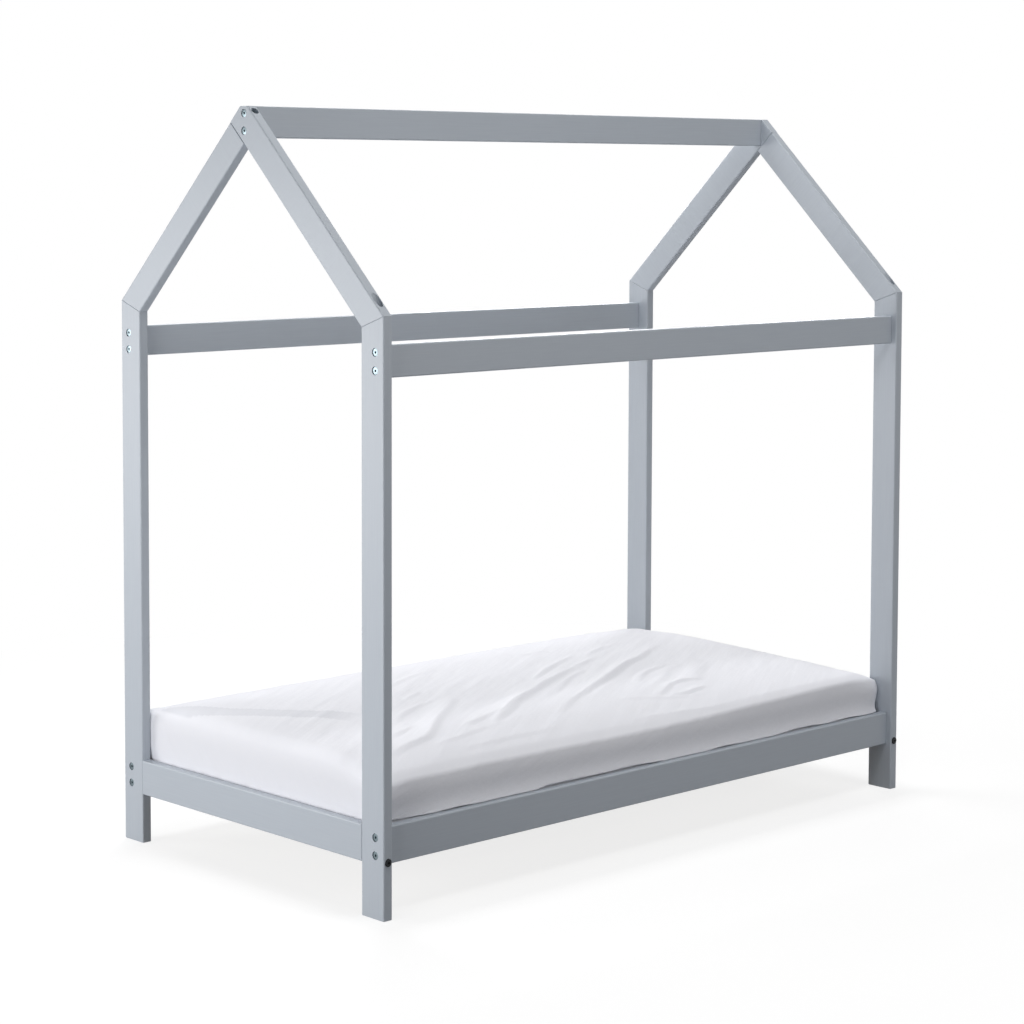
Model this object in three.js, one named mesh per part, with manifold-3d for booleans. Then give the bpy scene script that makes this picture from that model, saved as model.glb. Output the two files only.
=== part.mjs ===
// A house-shaped bed for a toddler, in millimetres, +Z up. X runs along the bed, Y runs across it with
// the front at -Y, and the origin is on the floor under the middle. Two gables of boards carry four
// rails and a ridge beam. Each gable is the other one turned half round about Z, as on the real bed.

import * as THREE from 'three';
import { mergeVertices } from 'three/addons/utils/BufferGeometryUtils.js';
import Module from 'manifold-3d';

const wasm = await Module();
wasm.setup();

// Mattress, and the room that the frame leaves round it
const MATTRESS_LENGTH = 1390;
const MATTRESS_WIDTH = 698;
const MATTRESS_HEIGHT = 121;
const MATTRESS_SINK = 23;
const MATTRESS_CROWN = 6;
const MATTRESS_SETTLE = 14;
const MATTRESS_FRONT_FALL = 34;
const MATTRESS_FRONT_REACH = 190;
const MATTRESS_BELLY = 2.5;
const MATTRESS_SIDE_DRAW = 2;
const MATTRESS_CORNER_ROUND = 32;
const MATTRESS_TOP_ROUND = 46;
const MATTRESS_FOOT_ROUND = 18;
const END_CLEARANCE = 5;
const SIDE_CLEARANCE = 8;

// Fitted sheet, stretched over the mattress and turned in under it
const SHEET_THICKNESS = 1.2;
const SHEET_EASE = 0.5;
const SHEET_TURN_IN = 60;
const FOLD_HEIGHT = 5;
const FOLD_WIDTH = 50;

// Boards
const BOARD_THICKNESS = 20;
const POST_WIDTH = 60;
const RAFTER_WIDTH = 57;
const LOWER_RAIL_HEIGHT = 67;
const UPPER_RAIL_HEIGHT = 58;
const RIDGE_BEAM_HEIGHT = 58;
const RAIL_SETBACK = 13;
const EDGE_EASE = 2.5;
const END_EASE = 0.6;

// Heights of the frame
const LEG_HEIGHT = 96;
const EAVES_HEIGHT = 1059;
const APEX_HEIGHT = 1437;
const UPPER_RAIL_DROP = 50;

// Slatted base
const SLAT_COUNT = 11;
const SLAT_WIDTH = 65;
const SLAT_THICKNESS = 12;
const SLAT_EASE = 1.5;
const SLAT_END_GAP = 2;
const SLAT_MARGIN = 12;
const LEDGER_WIDTH = 20;
const LEDGER_HEIGHT = 25;
const LEDGER_END_GAP = 2;

// Bolts through the wide faces, at the eaves and at the apex: flat steel heads with a hexagon socket
const STEEL_BOLT = {
  headRadius: 7.5,
  headThickness: 2.6,
  rimBevel: 0.9,
  shankRadius: 3,
  socketRadius: 2.6,
  socketDepth: 2,
};
const BOLT_RECESS = 1.2;
const BOLT_PITCH = 32;
const RAIL_GRIP = 45;
const POCKET_INSET = 17.5;
const POCKET_SEAT = 14;
const POST_GRIP = 28;
const APEX_BOLT_SINK = 9;
const APEX_GRIP = 36;

// Black bolts through the posts' narrow edges into the end rails, with low domed heads
const BLACK_BOLT = {
  headRadius: 7.25,
  headThickness: 2.4,
  rimBevel: 1.4,
  shankRadius: 2.8,
  socketRadius: 2.4,
  socketDepth: 1.6,
};
const EDGE_BOLT_RISE = 7.5;
const END_RAIL_GRIP = 38;

// Dowels glued into the end rails and rafters, each with a stub that keeps its board from turning
const DOWEL_RADIUS = 4;
const DOWEL_REACH = 12;
const DOWEL_ROOT = 6;
const DOWEL_DROP = 22;
const MITRE_DOWEL_INSET = 43;
const APEX_DOWEL_OFFSET = 16;

// Clearances and mesh fineness
const JOINT_GAP = 0.3;
const SEAT_GAP = 0.3;
const RADIAL_GAP = 0.3;
const TIP_GAP = 1;
const REST_GAP = 0.3;
const OVERRUN = 80;
const ROUND_SEGMENTS = 12;
const EASE_STEPS = 3;
const MATTRESS_CELLS = [6, 6, 1];
const SHEET_CELLS = [18, 10, 1];

// Sizes that follow from those above
const INNER_LENGTH = MATTRESS_LENGTH + 2 * END_CLEARANCE;
const INNER_WIDTH = MATTRESS_WIDTH + 2 * SIDE_CLEARANCE;
const LENGTH = INNER_LENGTH + 2 * BOARD_THICKNESS;
const WIDTH = INNER_WIDTH + 2 * (BOARD_THICKNESS + RAIL_SETBACK);
const RAIL_Y = (INNER_WIDTH + BOARD_THICKNESS) / 2;
const LOWER_RAIL_TOP = LEG_HEIGHT + LOWER_RAIL_HEIGHT;
const LOWER_RAIL_Z = LEG_HEIGHT + LOWER_RAIL_HEIGHT / 2;
const UPPER_RAIL_Z = EAVES_HEIGHT - UPPER_RAIL_DROP - UPPER_RAIL_HEIGHT / 2;
const SLAT_TOP = LOWER_RAIL_TOP - MATTRESS_SINK;
const PITCH = Math.atan2(APEX_HEIGHT - EAVES_HEIGHT, WIDTH / 2);
const RISE = Math.sin(PITCH);
const RUN = Math.cos(PITCH);
const RIDGE_Z = APEX_HEIGHT - RAFTER_WIDTH / 2 / RUN;
const RIDGE_TOP = RIDGE_Z + RIDGE_BEAM_HEIGHT / 2;
const HEAD_SINK = BOLT_RECESS + STEEL_BOLT.headThickness;

// Where the main folds of the sheet start and end, as shares of the mattress's half length and half width
const foldShares = [
  [-0.98, 0.86, -0.67, -0.06],
  [-0.28, -0.37, 0.39, 0.45],
  [-0.1, -0.52, 0.68, 0.39],
  [-0.71, -0.72, -0.21, 0.13],
];
// The foam is softest at its front right corner, so its top settles from these shares of the half sizes on.
// Its front edge is worn down as well, but a good part of that wear is spared towards the right.
const settleShares = { along: [-0.7, 1], across: [-0.95, 0.85] };
const wearShares = { along: [-0.2, 1], spared: 0.75 };
const cornerShares = [0, 1 - Math.tan(Math.PI / 8)];

const paint = new THREE.MeshStandardMaterial({ color: '#c3c9d1', roughness: 0.42, metalness: 0 });
const pine = new THREE.MeshStandardMaterial({ color: '#dcc196', roughness: 0.7, metalness: 0 });
const zinc = new THREE.MeshStandardMaterial({ color: '#a9b0b3', roughness: 0.32, metalness: 1 });
const blackOxide = new THREE.MeshStandardMaterial({ color: '#16181b', roughness: 0.45, metalness: 0.6 });
const ticking = new THREE.MeshStandardMaterial({ color: '#efeeea', roughness: 0.9, metalness: 0 });
const cotton = new THREE.MeshStandardMaterial({ color: '#f1f1f5', roughness: 0.85, metalness: 0 });

// Turns a closed geometry into a solid that can be joined and cut
function toSolid(geometry) {
  const bare = geometry.clone();
  bare.deleteAttribute('normal');
  bare.deleteAttribute('uv');
  const merged = mergeVertices(bare);
  const corners = merged.index.array;
  const kept = [];
  for (let i = 0; i < corners.length; i += 3) {
    const [a, b, c] = [corners[i], corners[i + 1], corners[i + 2]];
    if (a !== b && b !== c && c !== a) {
      kept.push(a, b, c);
    }
  }
  const vertProperties = new Float32Array(merged.attributes.position.array);
  const triVerts = new Uint32Array(kept);
  return new wasm.Manifold(new wasm.Mesh({ numProp: 3, vertProperties, triVerts }));
}

function toMesh(name, solid, material) {
  const { vertProperties, triVerts } = solid.getMesh();
  const geometry = new THREE.BufferGeometry();
  geometry.setAttribute('position', new THREE.BufferAttribute(vertProperties, 3));
  geometry.setIndex(new THREE.BufferAttribute(triVerts, 1));
  geometry.computeVertexNormals();
  const mesh = new THREE.Mesh(geometry, material);
  mesh.name = name;
  return mesh;
}

// A board along +Z from zero, with eased long edges and slightly eased ends
function plank(width, height, length, ease, steps) {
  const corners = [[1, 1], [-1, 1], [-1, -1], [1, -1]];
  const points = corners.flatMap(([x, y], quarter) => Array.from({ length: steps + 1 }, (_, step) => {
    const angle = (quarter + step / steps) * Math.PI / 2;
    const corner = new THREE.Vector2(x * (width / 2 - ease), y * (height / 2 - ease));
    return corner.add(new THREE.Vector2(ease * Math.cos(angle), ease * Math.sin(angle)));
  }));
  return extrudeEased(points, length);
}

function extrudeEased(points, length) {
  const settings = {
    depth: length - 2 * END_EASE,
    bevelThickness: END_EASE,
    bevelSize: END_EASE,
    bevelOffset: -END_EASE,
    bevelSegments: 1,
  };
  return new THREE.ExtrudeGeometry(new THREE.Shape(points), settings).translate(0, 0, END_EASE);
}

// Sends a geometry's x, y and z axes along three new directions
function reframe(geometry, x, y, z) {
  const basis = new THREE.Matrix4();
  basis.makeBasis(new THREE.Vector3(...x), new THREE.Vector3(...y), new THREE.Vector3(...z));
  return geometry.applyMatrix4(basis);
}

const alongX = (geometry) => reframe(geometry, [0, 1, 0], [0, 0, 1], [1, 0, 0]);
const alongY = (geometry) => reframe(geometry, [0, 0, 1], [1, 0, 0], [0, 1, 0]);

// Turns a gable board of the back half round the gable's upright middle line, to the front half
const toFront = (geometry) => geometry.rotateZ(Math.PI).translate(BOARD_THICKNESS, 0, 0);

// A place for a bolt or dowel: a point of a gable and the way out of the wood. Side is 1 at the back
// and -1 at the front, and y counts from the middle towards that side.
function spot(side, [x, y, z], [outX, outY, outZ]) {
  const point = new THREE.Vector3(x, side * y, z);
  const outward = new THREE.Vector3(outX, side * outY, outZ);
  return { point, outward };
}

function seat(geometry, { point, outward }) {
  const turn = new THREE.Quaternion().setFromUnitVectors(new THREE.Vector3(0, 0, 1), outward);
  return geometry.applyQuaternion(turn).translate(point.x, point.y, point.z);
}

// A round body about +Z from its profile of radii and heights, listed upwards
function turned(profile) {
  const points = profile.map(([radius, height]) => new THREE.Vector2(radius, height));
  return new THREE.LatheGeometry(points, ROUND_SEGMENTS).rotateX(Math.PI / 2);
}

// A bolt whose head stands on the plane z = 0, with its shank below and a hexagon socket on top
function bolt(kind, reach, place) {
  const body = turned([
    [0, -reach],
    [kind.shankRadius, -reach],
    [kind.shankRadius, 0],
    [kind.headRadius, 0],
    [kind.headRadius, kind.headThickness - kind.rimBevel],
    [kind.headRadius - kind.rimBevel, kind.headThickness],
    [0, kind.headThickness],
  ]);
  const socket = new THREE.CylinderGeometry(kind.socketRadius, kind.socketRadius, 2 * kind.socketDepth, 6);
  socket.rotateX(Math.PI / 2).translate(0, 0, kind.headThickness);
  return toSolid(seat(body, place)).subtract(toSolid(seat(socket, place)));
}

// The clearance hole and counterbore for that bolt
function bore(solid, kind, reach, places) {
  const hole = kind.shankRadius + RADIAL_GAP;
  const mouth = kind.headRadius + RADIAL_GAP;
  const profile = [
    [0, -reach - TIP_GAP],
    [hole, -reach - TIP_GAP],
    [hole, -SEAT_GAP],
    [mouth, -SEAT_GAP],
    [mouth, OVERRUN],
    [0, OVERRUN],
  ];
  return places.reduce((left, place) => left.subtract(toSolid(seat(turned(profile), place))), solid);
}

// A dowel stub reaches back from the place's plane and is rooted on its outward side
function addDowels(solid, places) {
  const profile = [[0, -DOWEL_REACH], [DOWEL_RADIUS, -DOWEL_REACH], [DOWEL_RADIUS, DOWEL_ROOT], [0, DOWEL_ROOT]];
  return places.reduce((whole, place) => whole.add(toSolid(seat(turned(profile), place))), solid);
}

function boreDowels(solid, places) {
  const radius = DOWEL_RADIUS + RADIAL_GAP;
  const bottom = -DOWEL_REACH - TIP_GAP;
  const profile = [[0, bottom], [radius, bottom], [radius, OVERRUN], [0, OVERRUN]];
  return places.reduce((left, place) => left.subtract(toSolid(seat(turned(profile), place))), solid);
}

// Straight lines of the gable, in y and z of its back half
const line = (point, along) => ({ point, along });
const shifted = ({ point, along }, left) => line([point[0] - along[1] * left, point[1] + along[0] * left], along);
const mirrored = ({ point, along }) => line([-point[0], point[1]], [-along[0], along[1]]);

function crossing(a, b) {
  const [px, pz] = [b.point[0] - a.point[0], b.point[1] - a.point[1]];
  const turn = a.along[0] * b.along[1] - a.along[1] * b.along[0];
  const reach = (px * b.along[1] - pz * b.along[0]) / turn;
  return [a.point[0] + a.along[0] * reach, a.point[1] + a.along[1] * reach];
}

const EAVES = [WIDTH / 2, EAVES_HEIGHT];
const rafterOuter = line(EAVES, [-RUN, RISE]);
const rafterInner = shifted(rafterOuter, RAFTER_WIDTH);
const postInner = line([WIDTH / 2 - POST_WIDTH, 0], [0, 1]);
const eavesInner = crossing(rafterInner, postInner);
const mitreLength = Math.hypot(eavesInner[0] - EAVES[0], eavesInner[1] - EAVES[1]);
const mitreAlong = [(eavesInner[0] - EAVES[0]) / mitreLength, (eavesInner[1] - EAVES[1]) / mitreLength];
const mitreUp = [mitreAlong[1], -mitreAlong[0]];
const mitre = line(EAVES, mitreAlong);
const ridgeFlat = line([0, RIDGE_TOP], [1, 0]);

// A gable board's outline through the thickness, with its cut ends slightly eased
function boardOutline(corners) {
  return alongX(extrudeEased(corners.map(([y, z]) => new THREE.Vector2(y, z)), BOARD_THICKNESS));
}

// Cuts a long eased blank to an outline whose sides run clear of it
function cutToOutline(blank, corners, side) {
  const outline = boardOutline(corners);
  const [board, cutter] = side < 0 ? [toFront(blank), toFront(outline)] : [blank, outline];
  return toSolid(board).intersect(toSolid(cutter));
}

const onMitre = (inset, height) => [
  BOARD_THICKNESS / 2,
  EAVES[0] + mitreAlong[0] * inset + mitreUp[0] * height,
  EAVES[1] + mitreAlong[1] * inset + mitreUp[1] * height,
];
const mitreOutward = [0, mitreUp[0], mitreUp[1]];
const eavesBoltPlace = (side) => spot(side, onMitre(POCKET_INSET, POCKET_SEAT), mitreOutward);
const eavesDowelPlace = (side) => spot(side, onMitre(MITRE_DOWEL_INSET, 0), mitreOutward);

// A pair of bolts, one above the other, that run along the bed
function boltPair(side, x, y, z) {
  const heights = [z + BOLT_PITCH / 2, z - BOLT_PITCH / 2];
  return heights.map((height) => spot(side, [x, y, height], [-1, 0, 0]));
}

const edgeBoltPlace = (side) => spot(
  side,
  [BOARD_THICKNESS / 2, WIDTH / 2 + SEAT_GAP, LEG_HEIGHT + EDGE_BOLT_RISE],
  [0, 1, 0],
);
const endDowelPlace = (side) => spot(
  side,
  [BOARD_THICKNESS / 2, WIDTH / 2 - POST_WIDTH, LOWER_RAIL_TOP - DOWEL_DROP],
  [0, -1, 0],
);
const ridgeBoltPlaces = boltPair(1, HEAD_SINK, 0, RIDGE_Z);

// The line down the middle of a butting rafter meets the through rafter's outer and inner edges
const rafterMiddle = shifted(rafterOuter, RAFTER_WIDTH / 2);
const apexOuter = crossing(rafterMiddle, mirrored(rafterOuter));
const apexDowel = crossing(shifted(rafterMiddle, APEX_DOWEL_OFFSET), mirrored(rafterInner));
const apexInner = crossing(rafterMiddle, mirrored(rafterInner));
const throughDepth = Math.hypot(apexOuter[0] - apexInner[0], apexOuter[1] - apexInner[1]);
const apexBoltPlace = (side) => spot(
  side,
  [BOARD_THICKNESS / 2, apexOuter[0] + RUN * APEX_BOLT_SINK, apexOuter[1] - RISE * APEX_BOLT_SINK],
  [0, -RUN, RISE],
);
const apexDowelPlace = (side) => spot(side, [BOARD_THICKNESS / 2, ...apexDowel], [0, RUN, -RISE]);

const RAIL_REACH = BOARD_THICKNESS - HEAD_SINK + RAIL_GRIP;
const EDGE_REACH = SEAT_GAP + POST_WIDTH + END_RAIL_GRIP;
const EAVES_REACH = POCKET_SEAT + POST_GRIP;
const APEX_REACH = throughDepth - APEX_BOLT_SINK + APEX_GRIP;

function post(side) {
  const blank = plank(BOARD_THICKNESS, POST_WIDTH, EAVES_HEIGHT + OVERRUN, EDGE_EASE, EASE_STEPS);
  blank.translate(BOARD_THICKNESS / 2, (WIDTH - POST_WIDTH) / 2, 0);
  const top = shifted(mitre, JOINT_GAP / 2);
  const outer = line([WIDTH / 2 + OVERRUN, 0], [0, 1]);
  const inner = line([WIDTH / 2 - POST_WIDTH - OVERRUN, 0], [0, 1]);
  const under = line([0, -OVERRUN], [1, 0]);
  const footCorners = [crossing(inner, under), crossing(under, outer)];
  const topCorners = [crossing(outer, top), crossing(top, inner)];
  let solid = cutToOutline(blank, [...footCorners, ...topCorners], side);
  solid = bore(solid, STEEL_BOLT, RAIL_REACH, boltPair(side, HEAD_SINK, RAIL_Y, LOWER_RAIL_Z));
  solid = bore(solid, STEEL_BOLT, RAIL_REACH, boltPair(side, HEAD_SINK, RAIL_Y, UPPER_RAIL_Z));
  solid = bore(solid, BLACK_BOLT, EDGE_REACH, [edgeBoltPlace(side)]);
  solid = bore(solid, STEEL_BOLT, EAVES_REACH, [eavesBoltPlace(side)]);
  return boreDowels(solid, [endDowelPlace(side), eavesDowelPlace(side)]);
}

// A rafter from its mitre to the given upper corners, with the long slanting pocket of its eaves bolt
function rafter(side, upperCorners) {
  const length = Math.hypot(WIDTH / 2, APEX_HEIGHT - EAVES_HEIGHT) + 2 * OVERRUN;
  const blank = plank(BOARD_THICKNESS, RAFTER_WIDTH, length, EDGE_EASE, EASE_STEPS);
  reframe(blank.translate(0, 0, -OVERRUN), [1, 0, 0], [0, RISE, RUN], [0, -RUN, RISE]);
  blank.translate(BOARD_THICKNESS / 2, rafterMiddle.point[0], rafterMiddle.point[1]);
  const foot = shifted(mitre, -JOINT_GAP / 2);
  const corners = [crossing(foot, insideRafter), crossing(foot, outsideRafter), ...upperCorners];
  let solid = cutToOutline(blank, corners, side);
  solid = addDowels(solid, [eavesDowelPlace(side)]);
  return bore(solid, STEEL_BOLT, EAVES_REACH, [eavesBoltPlace(side)]);
}

const outsideRafter = shifted(rafterOuter, -OVERRUN);
const insideRafter = shifted(rafterInner, OVERRUN);

// The through rafter ends in line with the other one's outer edge, under a short flat at ridge height
function throughRafter(side) {
  const end = mirrored(rafterOuter);
  const flatCorners = [crossing(outsideRafter, ridgeFlat), crossing(ridgeFlat, end)];
  let solid = rafter(side, [...flatCorners, crossing(end, insideRafter)]);
  solid = bore(solid, STEEL_BOLT, RAIL_REACH, ridgeBoltPlaces);
  solid = bore(solid, STEEL_BOLT, APEX_REACH, [apexBoltPlace(-side)]);
  return boreDowels(solid, [apexDowelPlace(-side)]);
}

// The butting rafter ends against the through rafter's inner edge
function buttingRafter(side) {
  const end = shifted(mirrored(rafterInner), -JOINT_GAP);
  let solid = rafter(side, [crossing(outsideRafter, end), crossing(end, insideRafter)]);
  solid = addDowels(solid, [apexDowelPlace(side)]);
  return bore(solid, STEEL_BOLT, APEX_REACH, [apexBoltPlace(side)]);
}

function endRail() {
  const length = WIDTH - 2 * POST_WIDTH;
  const blank = alongY(plank(LOWER_RAIL_HEIGHT, BOARD_THICKNESS, length, EDGE_EASE, EASE_STEPS));
  blank.translate(BOARD_THICKNESS / 2, -length / 2, LOWER_RAIL_Z);
  const sides = [-1, 1];
  const solid = addDowels(toSolid(blank), sides.map(endDowelPlace));
  return bore(solid, BLACK_BOLT, EDGE_REACH, sides.map(edgeBoltPlace));
}

// A rail or ridge beam about its own middle, with two bolt holes in each end
function rail(height) {
  const blank = alongX(plank(BOARD_THICKNESS, height, INNER_LENGTH, EDGE_EASE, EASE_STEPS));
  blank.translate(-INNER_LENGTH / 2, 0, 0);
  const near = boltPair(1, HEAD_SINK - LENGTH / 2, 0, 0);
  const far = near.map(({ point, outward }) => ({
    point: point.clone().setX(-point.x),
    outward: outward.clone().negate(),
  }));
  return bore(toSolid(blank), STEEL_BOLT, RAIL_REACH, [...near, ...far]);
}

// One gable, seen from outside the bed. Its front rafter runs through and its back rafter butts on it.
// Turned half round for the other end of the bed, its front becomes that end's back.
function gable(end, [front, back]) {
  const group = new THREE.Group();
  const add = (name, solid, material) => group.add(toMesh(`${name}_${end}`, solid, material));
  const addPair = (name, places) => places.forEach((place, index) => {
    group.add(toMesh(`${name}_${end}_${index + 1}`, bolt(STEEL_BOLT, RAIL_REACH, place), zinc));
  });
  add('end_rail', endRail(), paint);
  add(`rafter_${front}`, throughRafter(-1), paint);
  add(`rafter_${back}`, buttingRafter(1), paint);
  add('apex_bolt', bolt(STEEL_BOLT, APEX_REACH, apexBoltPlace(1)), zinc);
  addPair('ridge_bolt', ridgeBoltPlaces);
  for (const [side, label] of [[-1, front], [1, back]]) {
    add(`post_${label}`, post(side), paint);
    add(`eaves_bolt_${label}`, bolt(STEEL_BOLT, EAVES_REACH, eavesBoltPlace(side)), zinc);
    add(`end_rail_bolt_${label}`, bolt(BLACK_BOLT, EDGE_REACH, edgeBoltPlace(side)), blackOxide);
    addPair(`lower_rail_bolt_${label}`, boltPair(side, HEAD_SINK, RAIL_Y, LOWER_RAIL_Z));
    addPair(`upper_rail_bolt_${label}`, boltPair(side, HEAD_SINK, RAIL_Y, UPPER_RAIL_Z));
  }
  return group;
}

function addRails(bed) {
  const rails = [
    ['side_rail_front', LOWER_RAIL_HEIGHT, -RAIL_Y, LOWER_RAIL_Z],
    ['side_rail_back', LOWER_RAIL_HEIGHT, RAIL_Y, LOWER_RAIL_Z],
    ['upper_rail_front', UPPER_RAIL_HEIGHT, -RAIL_Y, UPPER_RAIL_Z],
    ['upper_rail_back', UPPER_RAIL_HEIGHT, RAIL_Y, UPPER_RAIL_Z],
    ['ridge_beam', RIDGE_BEAM_HEIGHT, 0, RIDGE_Z],
  ];
  for (const [name, height, y, z] of rails) {
    const mesh = toMesh(name, rail(height), paint);
    mesh.position.set(0, y, z);
    bed.add(mesh);
  }
}

// Two ledgers along the side rails carry the slats, which stop just short of the rails
function addSlattedBase(bed) {
  const ledgerLength = INNER_LENGTH - 2 * LEDGER_END_GAP;
  const slatLength = INNER_WIDTH - 2 * SLAT_END_GAP;
  const pitch = (INNER_LENGTH - 2 * SLAT_MARGIN - SLAT_WIDTH) / (SLAT_COUNT - 1);
  const slatZ = SLAT_TOP - SLAT_THICKNESS / 2;
  const ledgerZ = SLAT_TOP - SLAT_THICKNESS - LEDGER_HEIGHT / 2;
  for (const [name, side] of [['ledger_front', -1], ['ledger_back', 1]]) {
    const ledger = alongX(plank(LEDGER_WIDTH, LEDGER_HEIGHT, ledgerLength, SLAT_EASE, 1));
    const mesh = toMesh(name, toSolid(ledger.translate(-ledgerLength / 2, 0, 0)), pine);
    mesh.position.set(0, side * (INNER_WIDTH - LEDGER_WIDTH) / 2, ledgerZ);
    bed.add(mesh);
  }
  for (let i = 0; i < SLAT_COUNT; i += 1) {
    const slat = alongY(plank(SLAT_THICKNESS, SLAT_WIDTH, slatLength, SLAT_EASE, 1));
    const number = String(i + 1).padStart(2, '0');
    const mesh = toMesh(`slat_${number}`, toSolid(slat.translate(0, -slatLength / 2, 0)), pine);
    mesh.position.set((i - (SLAT_COUNT - 1) / 2) * pitch, 0, slatZ);
    bed.add(mesh);
  }
}

// Grid lines from one end of a soft body to the other, set closer in its rounded ends
function gridLines(low, high, lowRound, highRound, cells) {
  const start = low + lowRound;
  const step = (high - highRound - start) / cells;
  const lowEnd = cornerShares.map((share) => low + share * lowRound);
  const middle = Array.from({ length: cells + 1 }, (_, i) => start + i * step);
  const highEnd = cornerShares.map((share) => high - share * highRound).reverse();
  return [...lowEnd, ...middle, ...highEnd];
}

// How much of its height the sheet's nearest fold has at a place on the mattress
function foldsAt(x, y) {
  const here = new THREE.Vector3(x, y, 0);
  const near = new THREE.Vector3();
  return foldShares.reduce((height, [x0, y0, x1, y1]) => {
    const start = new THREE.Vector3(x0 * MATTRESS_LENGTH / 2, y0 * MATTRESS_WIDTH / 2, 0);
    const end = new THREE.Vector3(x1 * MATTRESS_LENGTH / 2, y1 * MATTRESS_WIDTH / 2, 0);
    const fold = new THREE.Line3(start, end);
    const share = fold.closestPointToPointParameter(here, true);
    const away = fold.at(share, near).distanceTo(here) / FOLD_WIDTH;
    return height + Math.exp(-away * away) * Math.sin(Math.PI * share);
  }, 0);
}

// The rounded, crowned body of the mattress, grown by a skin and raised by the sheet's folds
function cushion(skin, cells, foldHeight) {
  const [halfX, halfY] = [MATTRESS_LENGTH / 2, MATTRESS_WIDTH / 2];
  const round = MATTRESS_CORNER_ROUND;
  const linesX = gridLines(-halfX, halfX, round, round, cells[0]);
  const linesY = gridLines(-halfY, halfY, round, round, cells[1]);
  const linesZ = gridLines(0, MATTRESS_HEIGHT, MATTRESS_FOOT_ROUND, MATTRESS_TOP_ROUND, cells[2]);
  const grid = [linesX, linesY, linesZ];
  const geometry = new THREE.BoxGeometry(1, 1, 1, ...grid.map((lines) => lines.length - 1));
  const position = geometry.attributes.position;
  const corner = new THREE.Vector3();
  for (let i = 0; i < position.count; i += 1) {
    const shares = corner.fromBufferAttribute(position, i).addScalar(1 / 2).toArray();
    const place = grid.map((lines, axis) => lines[Math.round(shares[axis] * (lines.length - 1))]);
    const point = cushionPoint(place, skin, foldHeight);
    position.setXYZ(i, point.x, point.y, point.z);
  }
  return geometry;
}

// How far the top has sunk at a place on the mattress
function settleAt(x, y) {
  const [halfX, halfY] = [MATTRESS_LENGTH / 2, MATTRESS_WIDTH / 2];
  const along = THREE.MathUtils.smoothstep(x / halfX, ...settleShares.along);
  const across = THREE.MathUtils.smoothstep(-y / halfY, ...settleShares.across);
  const worn = 1 - wearShares.spared * THREE.MathUtils.smoothstep(x / halfX, ...wearShares.along);
  const front = Math.max(0, 1 - (halfY + y) / MATTRESS_FRONT_REACH) ** 2;
  return MATTRESS_SETTLE * along * across + MATTRESS_FRONT_FALL * worn * front;
}

function cushionPoint([x, y, z], skin, foldHeight) {
  const [halfX, halfY] = [MATTRESS_LENGTH / 2, MATTRESS_WIDTH / 2];
  const round = MATTRESS_CORNER_ROUND;
  const coreX = THREE.MathUtils.clamp(x, round - halfX, halfX - round);
  const coreY = THREE.MathUtils.clamp(y, round - halfY, halfY - round);
  const coreZ = THREE.MathUtils.clamp(z, MATTRESS_FOOT_ROUND, MATTRESS_HEIGHT - MATTRESS_TOP_ROUND);
  const roundZ = z > coreZ ? MATTRESS_TOP_ROUND : MATTRESS_FOOT_ROUND;
  const way = new THREE.Vector3((x - coreX) / round, (y - coreY) / round, (z - coreZ) / roundZ);
  way.normalize();
  const up = THREE.MathUtils.clamp(coreZ + way.z * roundZ, 0, MATTRESS_HEIGHT) / MATTRESS_HEIGHT;
  const belly = MATTRESS_BELLY * Math.sin(Math.PI * up) + skin;
  const acrossX = 1 - (x / halfX) ** 2;
  const acrossY = 1 - (y / halfY) ** 2;
  const lift = (MATTRESS_CROWN * acrossX * acrossY - settleAt(x, y)) * up * up;
  const ripple = foldHeight * foldsAt(x, y) * Math.max(0, way.z);
  return new THREE.Vector3(
    coreX + way.x * (round + belly),
    coreY + way.y * (round + belly - MATTRESS_SIDE_DRAW * acrossX),
    coreZ + way.z * (roundZ + skin) + lift + ripple,
  );
}

// The mattress, and the sheet round it with an opening underneath
function addBedding(bed) {
  const z = SLAT_TOP + REST_GAP + SHEET_THICKNESS + SHEET_EASE;
  const mattress = toMesh('mattress', toSolid(cushion(0, MATTRESS_CELLS, 0)), ticking);
  const opening = new THREE.BoxGeometry(
    MATTRESS_LENGTH - 2 * SHEET_TURN_IN,
    MATTRESS_WIDTH - 2 * SHEET_TURN_IN,
    MATTRESS_HEIGHT,
  );
  const outside = toSolid(cushion(SHEET_EASE + SHEET_THICKNESS, SHEET_CELLS, FOLD_HEIGHT));
  const inside = toSolid(cushion(SHEET_EASE, MATTRESS_CELLS, 0));
  const shell = outside.subtract(inside).subtract(toSolid(opening));
  const sheet = toMesh('fitted_sheet', shell, cotton);
  const group = new THREE.Group();
  group.position.z = z;
  group.add(mattress, sheet);
  bed.add(group);
}

const bed = new THREE.Group();
const leftGable = gable('left', ['front', 'back']);
leftGable.position.x = -LENGTH / 2;
const rightGable = gable('right', ['back', 'front']);
rightGable.rotation.z = Math.PI;
rightGable.position.x = LENGTH / 2;
bed.add(leftGable, rightGable);
addRails(bed);
addSlattedBase(bed);
addBedding(bed);

export default bed;
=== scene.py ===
# %% [markdown]
# # A house bed for a toddler
#
# The bed is a drawing of a house made from painted boards: two gables, four rails and a ridge beam.
# A small mattress in a white fitted sheet lies on slats between the lower rails. The boards come from
# the imported model and stay as they are, so the work here is their paint, the bolts and screws, and
# above all the bedding.
#
# The imported model is loaded first.

# %% Load the frame
import math

import bmesh
import bpy
import numpy as np
from mathutils import Matrix, Vector, noise


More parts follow.
